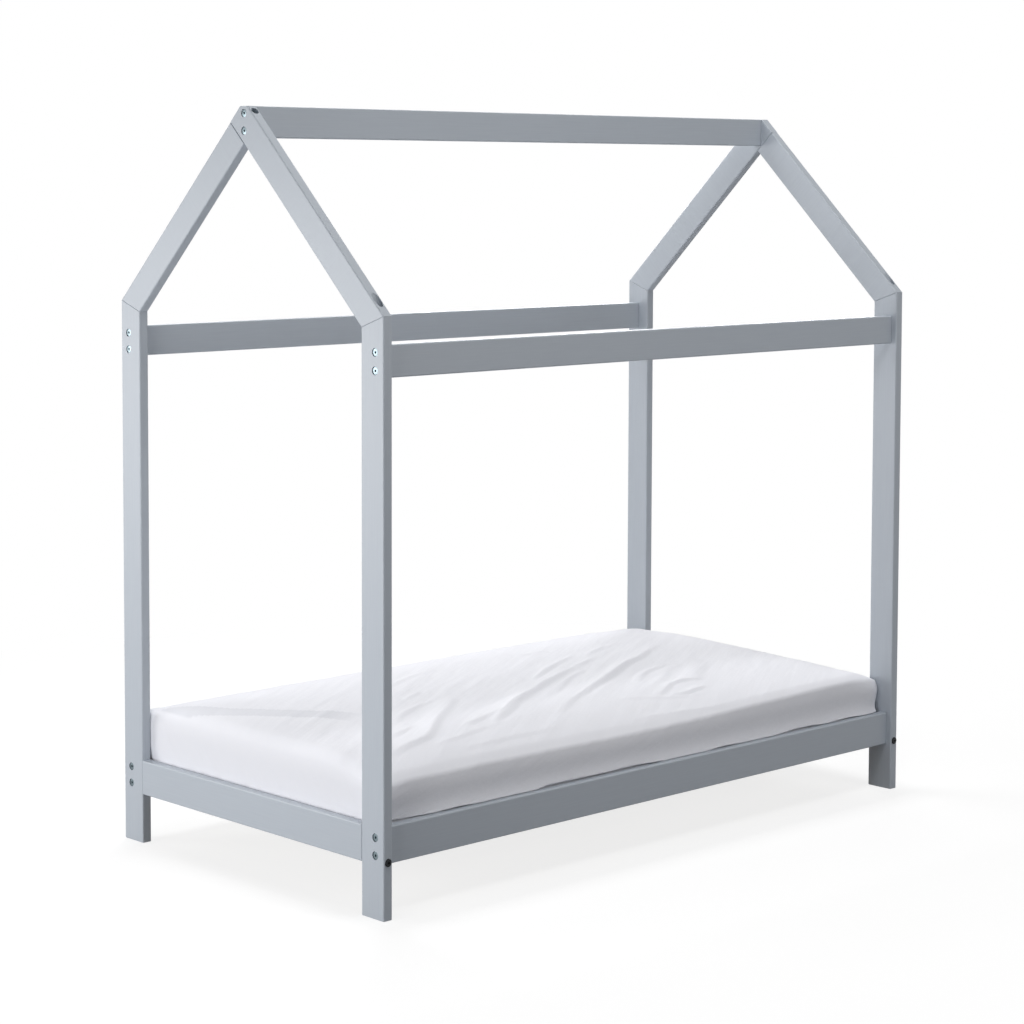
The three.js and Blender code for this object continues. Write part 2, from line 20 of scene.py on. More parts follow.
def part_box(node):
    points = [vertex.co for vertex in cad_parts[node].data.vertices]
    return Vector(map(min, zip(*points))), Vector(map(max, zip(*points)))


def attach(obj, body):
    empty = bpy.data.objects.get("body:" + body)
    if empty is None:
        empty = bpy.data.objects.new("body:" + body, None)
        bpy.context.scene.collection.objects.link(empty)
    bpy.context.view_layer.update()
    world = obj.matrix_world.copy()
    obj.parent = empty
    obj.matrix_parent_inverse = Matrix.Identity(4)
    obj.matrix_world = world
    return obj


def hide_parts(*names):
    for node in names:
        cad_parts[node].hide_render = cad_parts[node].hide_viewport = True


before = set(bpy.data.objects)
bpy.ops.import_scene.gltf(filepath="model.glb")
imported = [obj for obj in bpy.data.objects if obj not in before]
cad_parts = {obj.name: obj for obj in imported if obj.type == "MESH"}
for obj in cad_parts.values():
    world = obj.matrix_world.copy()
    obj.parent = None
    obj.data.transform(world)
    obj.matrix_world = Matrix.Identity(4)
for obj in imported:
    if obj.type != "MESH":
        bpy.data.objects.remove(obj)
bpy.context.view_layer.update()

MM = 0.001
bpy.ops.object.select_all(action="DESELECT")


# %% [markdown]
# ## Camera
#
# The photograph was taken from the front left corner, with the lens a little below the ridge. Upright posts
# stay upright in it, so the camera looks almost level and the picture is cut from the lower part of its
# view: that is what a vertical shift does. The numbers come from a camera fitted to the edges of the boards,
# which is surer than moving it by eye.

# %% Camera
LENS = 89.16
SHIFT_Y = -0.1583
CAMERA_PLACE = (-3.5556, -3.6945, 1.2992)
YAW, PITCH, ROLL = -43.539, 86.094, 0.18

camera_data = bpy.data.cameras.new("camera")
camera_data.sensor_width = 36
camera_data.lens = LENS
camera_data.shift_y = SHIFT_Y
camera = bpy.data.objects.new("camera", camera_data)
bpy.context.scene.collection.objects.link(camera)
turn = Matrix.Rotation(math.radians(YAW), 4, "Z") @ Matrix.Rotation(math.radians(PITCH), 4, "X")
turn = turn @ Matrix.Rotation(math.radians(ROLL), 4, "Z")
camera.matrix_world = Matrix.Translation(CAMERA_PLACE) @ turn
bpy.context.scene.camera = camera
print("camera at", CAMERA_PLACE)


# %% [markdown]
# ## Colours and nodes
#
# Colours are written as the hex values that a paint chart or a picture editor shows. Blender's sockets
# hold linear light, so one function turns one into the other. A second small function adds a node with
# its settings and its links, which keeps each material short enough to read from top to bottom.

# %% Colour and node helpers
def colour(hex_value):
    """Linear light from a screen colour."""
    parts = [int(hex_value[i:i + 2], 16) / 255 for i in (1, 3, 5)]
    linear = [p / 12.92 if p <= 0.04045 else ((p + 0.055) / 1.055) ** 2.4 for p in parts]
    return (*linear, 1.0)


def add(tree, kind, inputs=None, **settings):
    """One node, with a value or a link for each input that is named or numbered."""
    node = tree.nodes.new(kind)
    for name, value in settings.items():
        setattr(node, name, value)
    for name, value in (inputs or {}).items():
        if isinstance(value, bpy.types.NodeSocket):
            tree.links.new(value, node.inputs[name])
        else:
            node.inputs[name].default_value = value
    return node


def new_material(name):
    material = bpy.data.materials.new(name)
    material.use_nodes = True
    material.node_tree.nodes.clear()
    return material, material.node_tree


def finish_material(tree, shader):
    add(tree, "ShaderNodeOutputMaterial", {"Surface": shader.outputs[0]})


def ramp_colours(node, low, high):
    node.color_ramp.elements[0].color = low
    node.color_ramp.elements[1].color = high


def use_material(obj, material):
    obj.data.materials.clear()
    obj.data.materials.append(material)


print("light grey in linear light:", [round(x, 3) for x in colour("#c3c9d1")])


# %% [markdown]
# ## Room and light
#
# The bed stands in a white studio. Three soft lamps on the left, from near the floor to above the eaves,
# make the gables' outer faces the brightest boards. Three under the ceiling light the sheet, mostly from
# behind the ridge, so the roof's front slopes stay dark. One before the bed fills its front. Two windows,
# behind the bed and at its right, graze the sheet from behind, so each fold's front slope turns grey and the
# long front side stays in soft shade. Many weak lamps were chosen over one strong one, because each side of a
# board can then be set on its own. All of them are rectangles, whose shadows have soft edges.

# %% Lamps
def soft_lamp(name, power, size, place, target):
    data = bpy.data.lights.new(name, "AREA")
    data.shape = "RECTANGLE"
    data.size, data.size_y = size
    data.energy = power
    lamp = bpy.data.objects.new(name, data)
    bpy.context.scene.collection.objects.link(lamp)
    aim = (Vector(target) - Vector(place)).to_track_quat("-Z", "Y").to_matrix().to_4x4()
    lamp.matrix_world = Matrix.Translation(place) @ aim


# power in watts, then size, place and aim in metres
LAMPS = {
    "window_left": (36, (1.4, 1.0), (-2.9, 2.4, 0.8), (-0.7, 0.0, 0.7)),
    "low_left": (23, (2.0, 0.8), (-2.6, -0.2, 0.5), (-0.7, 0.0, 0.4)),
    "high_left": (3, (1.2, 1.2), (-2.4, -0.3, 2.0), (-0.6, 0.0, 0.8)),
    "ceiling_front": (21, (1.2, 0.6), (-0.6, -1.6, 3.3), (0.0, 0.0, 0.8)),
    "ceiling_middle": (13, (2.0, 0.8), (0.3, -1.2, 3.6), (0.0, 0.0, 0.5)),
    "ceiling_back": (50, (1.2, 1.0), (0.2, 1.2, 3.2), (0.1, 0.0, 0.3)),
    "wall_front": (18, (1.6, 0.8), (1.0, -3.2, 1.4), (0.2, 0.0, 0.9)),
    "window_back": (14, (2.4, 1.0), (0.4, 3.2, 1.6), (0.0, 0.0, 0.35)),
    "window_right": (40, (2.0, 1.0), (3.0, 2.4, 1.8), (0.2, 0.0, 0.3)),
}
for name, settings in LAMPS.items():
    soft_lamp(name, *settings)
print("lamps:", len(LAMPS), "watts in all:", sum(settings[0] for settings in LAMPS.values()))


# %% [markdown]
# ## Backdrop and floor
#
# In the photograph the bed stands in plain white with hardly a shadow. A white room would throw its light
# back on every side of the boards and flatten them. So the world and the floor are white only to the camera
# and in reflections, and dark to all other light: Light Path tells which ray is asking. The floor keeps a
# soft shadow under the bed and fades into the white around it.

# %% World
AMBIENT = 0.01
WHITE = (1, 1, 1, 1)


def seen_directly(tree):
    """1 for what the camera sees, also in a mirror or through glass, and 0 for light on its way to a surface."""
    path = add(tree, "ShaderNodeLightPath")
    seen = add(tree, "ShaderNodeMath", {0: path.outputs["Is Camera Ray"], 1: path.outputs["Is Glossy Ray"]},
               operation="MAXIMUM")
    seen = add(tree, "ShaderNodeMath", {0: seen.outputs[0], 1: path.outputs["Is Transmission Ray"]},
               operation="MAXIMUM")
    return seen.outputs[0]


world = bpy.data.worlds.new("studio")
bpy.context.scene.world = world
world.use_nodes = True
tree = world.node_tree
tree.nodes.clear()
seen = seen_directly(tree)
strength = add(tree, "ShaderNodeMapRange", {0: seen, 3: AMBIENT, 4: 1.0})
backdrop = add(tree, "ShaderNodeBackground", {"Color": WHITE, "Strength": strength.outputs[0]})
add(tree, "ShaderNodeOutputWorld", {"Surface": backdrop.outputs[0]})
bpy.context.scene.view_settings.view_transform = "Standard"
print("world light on the bed:", AMBIENT)


# %% Floor
FLOOR_SIZE = 60
FLOOR_SEEN = colour("#8c8c8c")
FLOOR_DIM = colour("#8e9094")
FLOOR_GLOW = 0.8
FADE_START, FADE_END = 0.9, 2.2

bpy.ops.mesh.primitive_plane_add(size=FLOOR_SIZE, location=(0, 0, 0))
floor = bpy.context.object
floor.name = "studio_floor"
floor_paint, tree = new_material("studio_floor_matt_white")
seen = seen_directly(tree)
place = add(tree, "ShaderNodeTexCoord").outputs["Object"]
away = add(tree, "ShaderNodeVectorMath", {0: place}, operation="LENGTH")
fade = add(tree, "ShaderNodeMapRange", {0: away.outputs["Value"], 1: FADE_START, 2: FADE_END},
           interpolation_type="SMOOTHSTEP")
matt = add(tree, "ShaderNodeBsdfDiffuse", {"Color": FLOOR_SEEN})
glow = add(tree, "ShaderNodeEmission", {"Color": WHITE, "Strength": FLOOR_GLOW})
near = add(tree, "ShaderNodeAddShader", {0: matt.outputs[0], 1: glow.outputs[0]})
far = add(tree, "ShaderNodeEmission", {"Color": WHITE, "Strength": 1.0})
shown = add(tree, "ShaderNodeMixShader", {0: fade.outputs[0], 1: near.outputs[0], 2: far.outputs[0]})
unseen = add(tree, "ShaderNodeBsdfDiffuse", {"Color": FLOOR_DIM})
finish_material(tree, add(tree, "ShaderNodeMixShader", {0: seen, 1: unseen.outputs[0], 2: shown.outputs[0]}))
use_material(floor, floor_paint)
print("floor fades to white from", FADE_START, "to", FADE_END, "m")


# %% [markdown]
# ## Painted boards
#
# The boards are planed softwood under a satin water-based lacquer. The eye sees a cool light grey with a
# broad soft shine, faint lines where the grain stands under the paint, and a very fine roller texture.
# The grain runs along each board, so there is one finish for each direction that boards run in. A pattern on
# Object coordinates needs no unwrapping, which suits straight boards.

# %% Satin lacquer
PAINT = colour("#bbc2ca")
PAINT_THIN = colour("#b7bec7")
GRAIN_WIDTH = 2.4 * MM
GRAIN_LENGTH = 90 * MM
ROLLER_GRAIN = 1.1 * MM
GRAIN_CONTRAST = (0.3, 0.7)
SATIN = (0.36, 0.46)
LACQUER_IOR = 1.5
ROOF_SLOPE = 44.105


def turned(degrees):
    return [math.radians(angle) for angle in degrees]


def satin_lacquer(name, degrees):
    material, tree = new_material(name)
    place = add(tree, "ShaderNodeTexCoord").outputs["Object"]
    along = add(tree, "ShaderNodeMapping", {"Vector": place, "Rotation": turned(degrees)})
    grain_scale = (1 / GRAIN_LENGTH, 1 / GRAIN_WIDTH, 1 / GRAIN_WIDTH)
    stretched = add(tree, "ShaderNodeMapping", {"Vector": along.outputs[0], "Scale": grain_scale})
    grain = add(tree, "ShaderNodeTexNoise", {"Vector": stretched.outputs[0], "Scale": 1.0, "Detail": 3.0})
    roller = add(tree, "ShaderNodeTexNoise", {"Vector": place, "Scale": 1 / ROLLER_GRAIN, "Detail": 2.0})
    tone = add(tree, "ShaderNodeValToRGB", {0: grain.outputs["Fac"]})
    ramp_colours(tone, PAINT_THIN, PAINT)
    tone.color_ramp.elements[0].position, tone.color_ramp.elements[1].position = GRAIN_CONTRAST
    shine = add(tree, "ShaderNodeMapRange", {0: roller.outputs["Fac"], 3: SATIN[0], 4: SATIN[1]})
    raised = add(tree, "ShaderNodeBump", {"Height": grain.outputs["Fac"], "Strength": 0.12, "Distance": 0.05 * MM})
    pitted = add(tree, "ShaderNodeBump", {"Height": roller.outputs["Fac"], "Strength": 0.2,
                                          "Distance": 0.05 * MM, "Normal": raised.outputs[0]})
    shader = add(tree, "ShaderNodeBsdfPrincipled", {"Base Color": tone.outputs[0], "IOR": LACQUER_IOR,
                                                    "Roughness": shine.outputs[0], "Normal": pitted.outputs[0]})
    finish_material(tree, shader)
    return material


lacquer = {
    "along": satin_lacquer("satin_lacquer_along", (0, 0, 0)),
    "across": satin_lacquer("satin_lacquer_across", (0, 0, 90)),
    "upright": satin_lacquer("satin_lacquer_upright", (0, 90, 0)),
    "rising": satin_lacquer("satin_lacquer_rising", (ROOF_SLOPE, 0, 90)),
    "falling": satin_lacquer("satin_lacquer_falling", (-ROOF_SLOPE, 0, 90)),
}
BOARD_RUNS = {
    "post": "upright", "rafter_front": "rising", "rafter_back": "falling", "end_rail": "across",
    "side_rail": "along", "upper_rail": "along", "ridge_beam": "along",
}
painted = 0
for name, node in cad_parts.items():
    for board, run in BOARD_RUNS.items():
        if name.startswith(board) and "bolt" not in name:
            use_material(node, lacquer[run])
            painted += 1
print("painted boards:", painted)


# %% [markdown]
# ## Bare wood under the mattress
#
# Slats and ledgers are planed pine without a finish. Bare pine is warm and matt, with soft brown year rings
# drawn out along the board and fine fibres between them. A Wave texture stretched along the board gives the
# rings, a much finer noise the fibres. Both fill the space that the wood stands in, so they go on over a
# slat's edge as real grain does, without a picture or an unwrapping.

# %% Bare pine
PINE_LIGHT = colour("#e2c796")
PINE_DARK = colour("#c89f66")
RING_SPACING = 13.2 * MM
RINGS_ALONG, RINGS_THROUGH = 454.5 * MM, 25 * MM
FIBRE_LENGTH, FIBRE_WIDTH = 111.1 * MM, 1.111 * MM
STREAKS = 0.25
DRY_WOOD = 0.68
WAVE_REPEAT = math.tau / 20  # a wave texture of scale 1 repeats after this many metres


def bare_pine(name, degrees):
    material, tree = new_material(name)
    place = add(tree, "ShaderNodeTexCoord").outputs["Object"]
    along = add(tree, "ShaderNodeMapping", {"Vector": place, "Rotation": turned(degrees)})
    ring_scale = (1 / RINGS_ALONG, WAVE_REPEAT / RING_SPACING, 1 / RINGS_THROUGH)
    stretch = add(tree, "ShaderNodeMapping", {"Vector": along.outputs[0], "Scale": ring_scale})
    rings = add(tree, "ShaderNodeTexWave", {"Vector": stretch.outputs[0], "Scale": 1.0, "Distortion": 3.0,
                                            "Detail": 3.0, "Detail Scale": 1.2}, bands_direction="Y")
    fibre_scale = (1 / FIBRE_LENGTH, 1 / FIBRE_WIDTH, 1 / FIBRE_WIDTH)
    fibres = add(tree, "ShaderNodeMapping", {"Vector": along.outputs[0], "Scale": fibre_scale})
    fibre = add(tree, "ShaderNodeTexNoise", {"Vector": fibres.outputs[0], "Scale": 1.0, "Detail": 2.0})
    tone = add(tree, "ShaderNodeMix", {0: rings.outputs["Fac"], 6: PINE_LIGHT, 7: PINE_DARK}, data_type="RGBA")
    streaked = add(tree, "ShaderNodeMix", {0: STREAKS, 6: tone.outputs[2], 7: fibre.outputs["Color"]},
                   data_type="RGBA", blend_type="SOFT_LIGHT")
    relief = add(tree, "ShaderNodeBump", {"Height": fibre.outputs["Fac"], "Strength": 0.3, "Distance": 0.15 * MM})
    shader = add(tree, "ShaderNodeBsdfPrincipled", {"Base Color": streaked.outputs[2], "Roughness": DRY_WOOD,
                                                    "IOR": 1.5, "Normal": relief.outputs[0]})
    finish_material(tree, shader)
    return material


pine = {"along": bare_pine("bare_pine_along", (0, 0, 0)), "across": bare_pine("bare_pine_across", (0, 0, 90))}
for name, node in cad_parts.items():
    if name.startswith("ledger"):
        use_material(node, pine["along"])
    if name.startswith("slat"):
        use_material(node, pine["across"])
print("year rings:", round(RING_SPACING / MM, 1), "mm apart")


# %% [markdown]
# ## Steel of the bolts
#
# Most bolts are steel with a thin coat of zinc, which gives the eye a grey metal with cloudy blotches, duller
# in some places than in others. The four that go into the end rails are blackened in an oxide bath: nearly
# black, with a low shine. Both are made the same way, by a noise that changes the roughness a little. A
# picture of worn metal would look alike on every head, and a noise in space doesn't.

# %% Zinc and black steel
ZINC_BLOTCH, BLACK_BLOTCH = 2.381 * MM, 2 * MM
ZINC_SHINE, BLACK_SHINE = (0.24, 0.4), (0.3, 0.5)
zinc, tree = new_material("zinc_plated_steel")
place = add(tree, "ShaderNodeTexCoord").outputs["Object"]
blotches = add(tree, "ShaderNodeTexNoise", {"Vector": place, "Scale": 1 / ZINC_BLOTCH, "Detail": 3.0})
tone = add(tree, "ShaderNodeValToRGB", {0: blotches.outputs["Fac"]})
ramp_colours(tone, colour("#5c6a71"), colour("#88959a"))
dull = add(tree, "ShaderNodeMapRange", {0: blotches.outputs["Fac"], 3: ZINC_SHINE[0], 4: ZINC_SHINE[1]})
finish_material(tree, add(tree, "ShaderNodeBsdfPrincipled", {
    "Base Color": tone.outputs[0], "Metallic": 1.0, "Roughness": dull.outputs[0]}))

black, tree = new_material("black_oxide_steel")
place = add(tree, "ShaderNodeTexCoord").outputs["Object"]
blotches = add(tree, "ShaderNodeTexNoise", {"Vector": place, "Scale": 1 / BLACK_BLOTCH, "Detail": 2.0})
dull = add(tree, "ShaderNodeMapRange", {0: blotches.outputs["Fac"], 3: BLACK_SHINE[0], 4: BLACK_SHINE[1]})
finish_material(tree, add(tree, "ShaderNodeBsdfPrincipled", {
    "Base Color": colour("#17191c"), "Metallic": 0.7, "Roughness": dull.outputs[0]}))

print("steels:", zinc.name, "and", black.name)


# %% [markdown]
# ## Bolts
#
# Furniture like this goes together with connecting bolts and a hex key: flat heads in the wide faces, domed
# black ones in the posts' narrow edges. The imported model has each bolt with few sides, which is enough to
# find where it sits and which way it points. A finely turned bolt takes its place: a cylinder for the head, a
# bevelled rim, an inset face drawn out into the shank and a hexagon cut into the top. Bolts of one kind and
# length are alike, so one is modelled and the others are copies of it.

# %% Editing helpers
BOLT_SIDES = 40
TINY = 1e-6
PLAIN_HEAD = {"radius": 7.5 * MM, "thickness": 2.6 * MM, "rim": 0.9 * MM, "shank": 3.0 * MM,
              "socket": 2.6 * MM, "depth": 3.4 * MM}
DOMED_HEAD = {"radius": 7.25 * MM, "thickness": 2.4 * MM, "rim": 1.9 * MM, "shank": 2.8 * MM,
              "socket": 2.4 * MM, "depth": 2.6 * MM}
SHANK_CHAMFER = 0.6 * MM
SMOOTH_BELOW = math.radians(35)


def middle_of(item):
    """The middle of a corner, an edge or a face."""
    if isinstance(item, bmesh.types.BMVert):
        return item.co
    return sum((v.co for v in item.verts), Vector()) / len(item.verts)


def pick(obj, kind, test):
    """Selects the corners, edges or faces whose middle passes the test."""
    bpy.ops.mesh.select_mode(type=kind)
    bpy.ops.mesh.select_all(action="DESELECT")
    shape = bmesh.from_edit_mesh(obj.data)
    items = {"VERT": shape.verts, "EDGE": shape.edges, "FACE": shape.faces}[kind]
    for item in items:
        item.select_set(bool(test(middle_of(item))))
    shape.select_flush_mode()
    bmesh.update_edit_mesh(obj.data)


def only(obj):
    """Makes one object the selected and active one."""
    bpy.ops.object.select_all(action="DESELECT")
    obj.select_set(True)
    bpy.context.view_layer.objects.active = obj


def cut_out(obj, cutter):
    """Takes the cutter's shape out of the object."""
    cut = obj.modifiers.new("cut", "BOOLEAN")
    cut.object = cutter
    cut.operation = "DIFFERENCE"
    only(obj)
    bpy.ops.object.modifier_apply(modifier="cut")
    bpy.data.objects.remove(cutter)


print("head widths mm:", [round(2 * head["radius"] / MM, 1) for head in (PLAIN_HEAD, DOMED_HEAD)])


# %% Connecting bolts
def connecting_bolt(name, head, length):
    """The top of the head lies at the origin, and the shank points down."""
    drop = head["thickness"]
    bpy.ops.mesh.primitive_cylinder_add(vertices=BOLT_SIDES, radius=head["radius"], depth=drop,
                                        location=(0, 0, -drop / 2))
    bolt = bpy.context.object
    bolt.name = name
    bpy.ops.object.transform_apply(location=True, rotation=False, scale=False)
    bpy.ops.object.mode_set(mode="EDIT")
    pick(bolt, "EDGE", lambda p: abs(p.z) < TINY)
    bpy.ops.mesh.bevel(offset=head["rim"], segments=4, affect="EDGES")
    pick(bolt, "FACE", lambda p: abs(p.z + drop) < TINY)
    bpy.ops.mesh.inset(thickness=head["radius"] - head["shank"])
    bpy.ops.mesh.extrude_region_move(TRANSFORM_OT_translate={"value": (0, 0, drop - length)})
    pick(bolt, "EDGE", lambda p: abs(p.z + length) < TINY)
    bpy.ops.mesh.bevel(offset=SHANK_CHAMFER, segments=1, affect="EDGES")
    bpy.ops.object.mode_set(mode="OBJECT")
    bpy.ops.mesh.primitive_cylinder_add(vertices=6, radius=head["socket"], depth=2 * head["depth"])
    cut_out(bolt, bpy.context.object)
    bpy.ops.object.shade_smooth_by_angle(angle=SMOOTH_BELOW)
    return bolt


def where_bolt_sits(node):
    """The longest direction through a bolt's points is its axis, and the head is at the end that is widest."""
    points = np.unique(np.round([node.matrix_world @ v.co for v in node.data.vertices], 6), axis=0)
    centre = points.mean(axis=0)
    axis = np.linalg.svd(points - centre, full_matrices=False)[2][0]
    along = (points - centre) @ axis
    reach = np.linalg.norm(points - centre - np.outer(along, axis), axis=1)
    axis = axis * np.sign(along[reach.argmax()])
    along = (points - centre) @ axis
    return Vector(centre + axis * along.max()), Vector(axis), along.max() - along.min()


def set_in_place(model, name, tip, axis):
    """A copy of the model, with the top of its head at the tip and facing along the axis."""
    piece = model.copy()
    piece.data = model.data.copy()
    piece.name = name
    bpy.context.scene.collection.objects.link(piece)
    piece.matrix_world = Matrix.Translation(tip) @ axis.to_track_quat("Z", "Y").to_matrix().to_4x4()
    only(piece)
    bpy.ops.object.transform_apply(location=True, rotation=True, scale=True)
    return piece


models = {}
for name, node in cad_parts.items():
    if "bolt" not in name:
        continue
    domed = name.startswith("end_rail_bolt")
    tip, axis, length = where_bolt_sits(node)
    kind = (domed, round(length, 4))
    if kind not in models:
        models[kind] = connecting_bolt("model_bolt", DOMED_HEAD if domed else PLAIN_HEAD, length)
    bolt = set_in_place(models[kind], "turned_" + name, tip, axis)
    use_material(bolt, black if domed else zinc)
    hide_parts(name)
    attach(bolt, "bed_frame")
for model in models.values():
    bpy.data.objects.remove(model)
print("kinds of bolt (domed, length in m):", sorted(models))


# %% [markdown]
# ## Screws of the slatted base
#
# The ledgers are screwed to the inside of the long rails, and each slat end is held down by one screw. They
# are countersunk wood screws with a cross recess, and they show only when the mattress is lifted out. A cone
# is the head, drawn out into a shank and a point, and two thin blocks cut the cross. The thread sits in the
# wood, so it is left out.

# %% Wood screws
SCREW_SIDES = 20
SCREW_HEAD = 3.8 * MM
SCREW_CONE = 2.6 * MM
SCREW_SHANK = 1.6 * MM
RECESS = (4.4 * MM, 0.9 * MM, 1.8 * MM)
SLAT_SCREW, LEDGER_SCREW = 30 * MM, 32 * MM
LEDGER_SCREWS, LEDGER_SCREW_PITCH = 6, 225 * MM
PROUD = 0.15 * MM


def wood_screw(name, length):
    """The length is that of the head and shank, without the point."""
    bpy.ops.mesh.primitive_cone_add(vertices=SCREW_SIDES, radius1=SCREW_SHANK, radius2=SCREW_HEAD,
                                    depth=SCREW_CONE, location=(0, 0, -SCREW_CONE / 2))
    screw = bpy.context.object
    screw.name = name
    bpy.ops.object.transform_apply(location=True, rotation=False, scale=False)
    bpy.ops.object.mode_set(mode="EDIT")
    pick(screw, "FACE", lambda p: abs(p.z + SCREW_CONE) < TINY)
    bpy.ops.mesh.extrude_region_move(TRANSFORM_OT_translate={"value": (0, 0, SCREW_CONE - length)})
    bpy.ops.mesh.extrude_region_move(TRANSFORM_OT_translate={"value": (0, 0, -2 * SCREW_SHANK)})
    bpy.ops.mesh.merge(type="CENTER")
    bpy.ops.object.mode_set(mode="OBJECT")
    for size in (RECESS, (RECESS[1], RECESS[0], RECESS[2])):
        bpy.ops.mesh.primitive_cube_add(size=1, scale=size)
        cut_out(screw, bpy.context.object)
    bpy.ops.object.shade_smooth_by_angle(angle=SMOOTH_BELOW)
    use_material(screw, zinc)
    return screw


slat_model = wood_screw("model_slat_screw", SLAT_SCREW)
ledger_model = wood_screw("model_ledger_screw", LEDGER_SCREW)
screws = []
for side in ("front", "back"):
    low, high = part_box("ledger_" + side)
    middle_y, inner_y = (low[1] + high[1]) / 2, min((low[1], high[1]), key=abs)
    inward = Vector((0, -math.copysign(1, middle_y), 0))
    for name in [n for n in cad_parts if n.startswith("slat_")]:
        slat_low, slat_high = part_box(name)
        tip = Vector(((slat_low[0] + slat_high[0]) / 2, middle_y, slat_high[2] + PROUD))
        screws.append(set_in_place(slat_model, f"{name}_screw_{side}", tip, Vector((0, 0, 1))))
    for i in range(LEDGER_SCREWS):
        x = (i - (LEDGER_SCREWS - 1) / 2) * LEDGER_SCREW_PITCH
        tip = Vector((x, inner_y, (low[2] + high[2]) / 2)) + PROUD * inward
        screws.append(set_in_place(ledger_model, f"ledger_screw_{side}_{i + 1}", tip, inward))
for screw in screws:
    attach(screw, "bed_frame")
bpy.data.objects.remove(slat_model)
bpy.data.objects.remove(ledger_model)
print("screws:", len(screws))


# %% [markdown]
# ## Mattress
#
# The mattress is a block of soft foam in a woven cover. It starts as a rounded block a little smaller than
# the room it has. Air pressure in a short cloth simulation then swells it, and the swelling is capped. The
# cap is widest in the middle of the top, so the mattress ends crowned there and flat on the slats. The cap is
# needed because free pressure would make a balloon of it.

# %% Mattress core
HALF_LENGTH, HALF_WIDTH, HEIGHT = 695 * MM, 349 * MM, 121 * MM
CORNER, TOP_ROUND, FOOT_ROUND = 32 * MM, 46 * MM, 18 * MM
CROWN, BELLY, SIDE_DRAW = 6 * MM, 2.5 * MM, 2 * MM
SETTLE, FRONT_FALL, FRONT_REACH = 14 * MM, 34 * MM, 190 * MM
END_FALL, END_REACH = 5 * MM, 90 * MM
BACK_CORNER_FALL, BACK_CORNER_REACH = 7 * MM, 150 * MM
WAIST, WAIST_SPREAD, WAIST_HEIGHT, WAIST_REACH = 1.2 * MM, 20 * MM, 42 * MM, 100 * MM
CORE_SHRINK = 4.5 * MM
CORE_VOXEL = 13 * MM
SWELL_SIDE = 1.2 * MM
SWELL_PRESSURE = 4
SWELL_FRAMES = 20
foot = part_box("mattress")[0][2]


def ease(share):
    share = np.clip(share, 0, 1)
    return share * share * (3 - 2 * share)


def edge_share(distance, reach):
    return np.clip(1 - distance / reach, 0, 1.3) ** 2


def slumped(points):
    """The worn foam has settled at the front right and dropped at its front edge, most on the left.

    Its ends and the far back corner drop a little, and the front is drawn in at the waist. Places are taken
    as shares of the half length and half width: -1 is left or front, 1 is right or back.
    """
    x, y, z = points.T
    up = np.clip((z - foot) / HEIGHT, 0, 1)
    sunk = SETTLE * ease((x / HALF_LENGTH + 0.7) / 1.7) * ease((0.95 - y / HALF_WIDTH) / 1.8)
    worn = 1 - 0.75 * ease((x / HALF_LENGTH + 0.2) / 1.2)
    front = FRONT_FALL * worn * edge_share(HALF_WIDTH + y, FRONT_REACH)
    ends = END_FALL * edge_share(HALF_LENGTH - np.abs(x), END_REACH)
    corner = (x - HALF_LENGTH) ** 2 + (y - HALF_WIDTH) ** 2
    back = BACK_CORNER_FALL * np.exp(-corner / BACK_CORNER_REACH ** 2)
    waist = WAIST * np.exp(-((z - foot - WAIST_HEIGHT) / WAIST_SPREAD) ** 2)
    waist *= edge_share(HALF_WIDTH + y, WAIST_REACH)
    return points + np.stack([0 * x, waist, -(sunk + front + ends + back) * up * up], axis=1)


core_size = Vector((2 * HALF_LENGTH, 2 * HALF_WIDTH, HEIGHT)) - CORE_SHRINK * Vector((2, 2, 1))
bpy.ops.object.select_all(action="DESELECT")
bpy.ops.mesh.primitive_cube_add(size=1, location=(0, 0, foot + core_size.z / 2), scale=core_size)
core = bpy.context.object
core.name = "foam_mattress"
bpy.ops.object.transform_apply(location=True, rotation=False, scale=True)
bpy.ops.object.mode_set(mode="EDIT")
half_x, half_y = core_size.x / 2, core_size.y / 2
pick(core, "EDGE", lambda p: abs(abs(p.x) - half_x) < TINY and abs(abs(p.y) - half_y) < TINY)
bpy.ops.mesh.bevel(offset=CORNER - CORE_SHRINK, segments=8, affect="EDGES")
top_z = foot + core_size.z
pick(core, "EDGE", lambda p: abs(p.z - top_z) < TINY)
bpy.ops.mesh.bevel(offset=CORNER - CORE_SHRINK - TINY, segments=8, affect="EDGES")
pick(core, "EDGE", lambda p: abs(p.z - foot) < TINY)
bpy.ops.mesh.bevel(offset=FOOT_ROUND - CORE_SHRINK, segments=4, affect="EDGES")
bpy.ops.object.mode_set(mode="OBJECT")
remesh = core.modifiers.new("even_mesh", "REMESH")
remesh.mode = "VOXEL"
remesh.voxel_size = CORE_VOXEL
bpy.ops.object.modifier_apply(modifier="even_mesh")
print("block of foam:", len(core.data.polygons), "faces")


# %% Swelling and wear
def read_points(mesh):
    points = np.empty(len(mesh.vertices) * 3)
    mesh.vertices.foreach_get("co", points)
    return points.reshape(-1, 3)


def write_points(mesh, points):
    mesh.vertices.foreach_set("co", np.ascontiguousarray(points).ravel())
    mesh.update()


